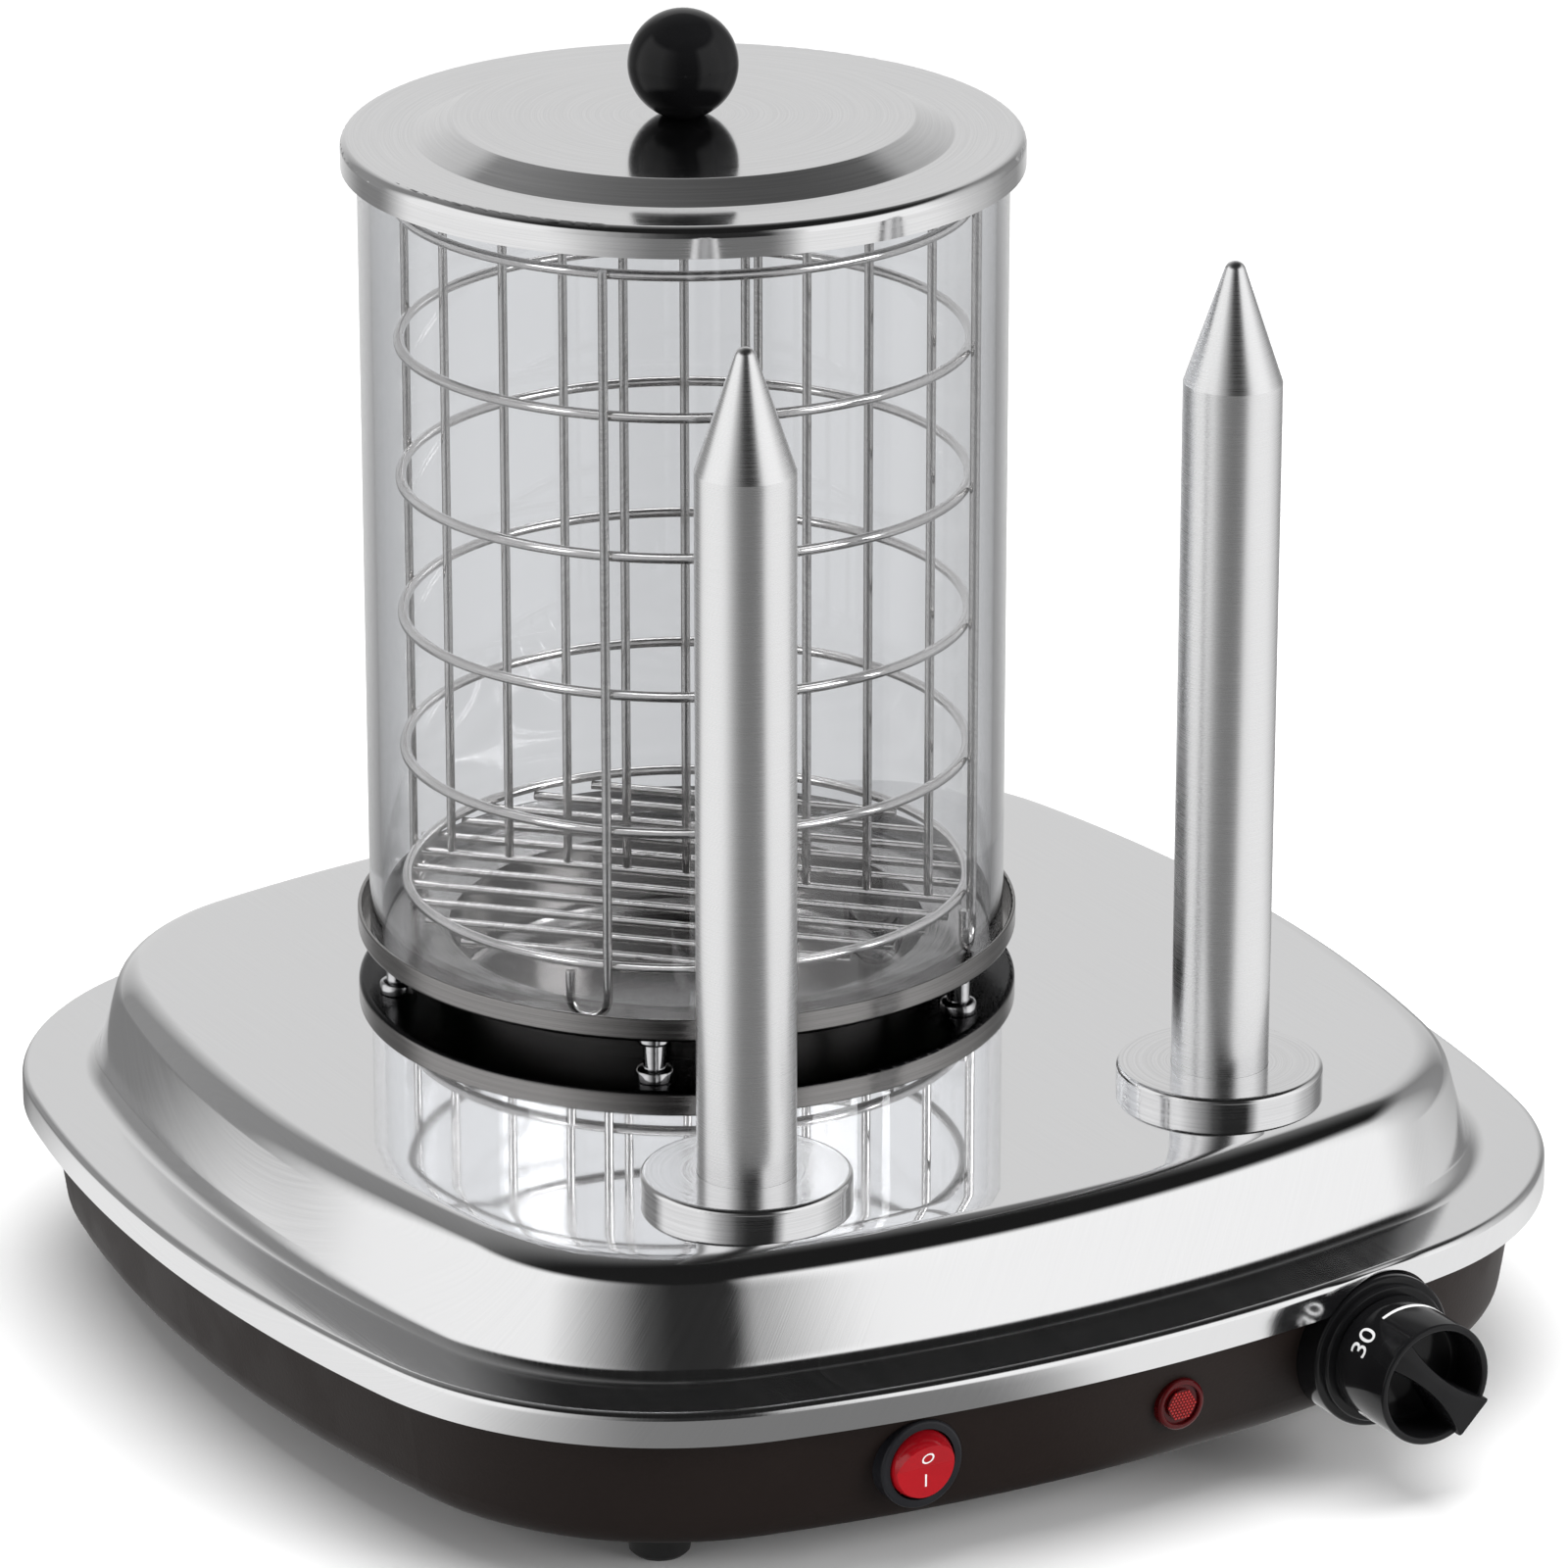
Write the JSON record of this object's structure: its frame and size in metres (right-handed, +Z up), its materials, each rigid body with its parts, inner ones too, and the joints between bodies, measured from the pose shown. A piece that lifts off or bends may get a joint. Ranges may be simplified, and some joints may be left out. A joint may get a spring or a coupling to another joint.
{
  "type": "hot dog maker",
  "caption": "Countertop hot dog maker: square steel base with a lidded glass steamer and wire basket, warming spikes, thermostat knob, rocker switch and pilot lamp.",
  "frame": {"origin": "on the floor plane under the feet, at the centre of the machine's footprint, knob included", "axes": "+Z up, -Y towards the user and the control panel, +X to the user's right"},
  "size_m": [0.328, 0.3501, 0.3109],
  "materials": {
    "painted_tub": "matte dark brown-black paint",
    "zinc_plate": "plain zinc plated sheet",
    "zinc_hardware": "zinc plated hardware",
    "rubber_black": "black rubber",
    "stainless_sheet": "stainless, mirror top and satin wall",
    "dish_steel": "darker stainless, brushed rim",
    "bright_hardware": "bright plated",
    "heater_sheath": "steel heater sheath",
    "switch_black": "black nylon",
    "rocker_red": "translucent red plastic",
    "lamp_red": "dark red prismatic lens",
    "lamp_body": "lamp holder plastic",
    "knob_black": "gloss black plastic",
    "thermostat_case": "pressed aluminium case",
    "terminal_plastic": "ivory nylon",
    "clear_glass": "clear borosilicate glass",
    "lid_steel": "satin stainless with brushed skirt",
    "spike_aluminium": "circumferentially brushed",
    "collar_steel": "turned and polished",
    "wire_steel": "bright stainless wire"
  },
  "bodies": {
    "base": {"base_tub": "painted_tub", "bottom_plate": "zinc_plate", "bottom_plate_screws": "zinc_hardware", "rubber_feet": "rubber_black", "foot_screws": "zinc_hardware", "deck_top": "stainless_sheet", "steam_dish": "dish_steel", "dish_studs": "bright_hardware", "boiler_heater": "heater_sheath", "heater_clamp": "zinc_plate", "clamp_stud": "zinc_hardware", "clamp_nut": "zinc_hardware", "spike_washers": "zinc_hardware", "spike_nuts": "zinc_hardware", "rocker_housing": "switch_black", "pilot_lens": "lamp_red", "pilot_body": "lamp_body", "knob_collar": "knob_black", "thermostat_body": "thermostat_case", "cord_gland": "switch_black", "terminal_block": "terminal_plastic", "spike_left": "spike_aluminium", "spike_collar_left": "collar_steel", "spike_plug_left": "collar_steel", "spike_heater_left": "heater_sheath", "spike_right": "spike_aluminium", "spike_collar_right": "collar_steel", "spike_plug_right": "collar_steel", "spike_heater_right": "heater_sheath"},
    "glass": {"glass_cylinder": "clear_glass"},
    "lid": {"lid_pan": "lid_steel", "lid_ball_knob": "knob_black", "lid_knob_screw": "bright_hardware"},
    "basket": {"basket_uprights": "wire_steel", "basket_floor_bars": "wire_steel", "basket_divider": "wire_steel", "basket_ring_1": "wire_steel", "basket_ring_2": "wire_steel", "basket_ring_3": "wire_steel", "basket_ring_4": "wire_steel", "basket_ring_5": "wire_steel", "basket_ring_6": "wire_steel"},
    "knob": {"thermostat_knob": "knob_black", "thermostat_shaft": "bright_hardware"},
    "rocker": {"rocker_button": "rocker_red"}
  },
  "joints": [
    {"name": "glass_lift", "type": "slide", "parent": "base", "child": "glass", "axis": [0, 0, 1], "range_m": [0, 0.19]},
    {"name": "lid_lift", "type": "slide", "parent": "glass", "child": "lid", "axis": [0, 0, 1], "range_m": [0, 0.2]},
    {"name": "basket_lift", "type": "slide", "parent": "base", "child": "basket", "axis": [0, 0, 1], "range_m": [0, 0.1]},
    {"name": "thermostat_turn", "type": "hinge", "parent": "base", "child": "knob", "pos_m": [0.067, -0.17508, 0.031], "axis": [0, -1, 0], "range_deg": [-270, 0]},
    {"name": "rocker_press", "type": "hinge", "parent": "base", "child": "rocker", "pos_m": [-0.053, -0.14347, 0.0285], "axis": [1, 0, 0], "range_deg": [-20, 0]}
  ],
  "couplings": [
    {"joint": "basket_lift", "follows": "lid_lift", "ratio": 0.5}
  ]
}
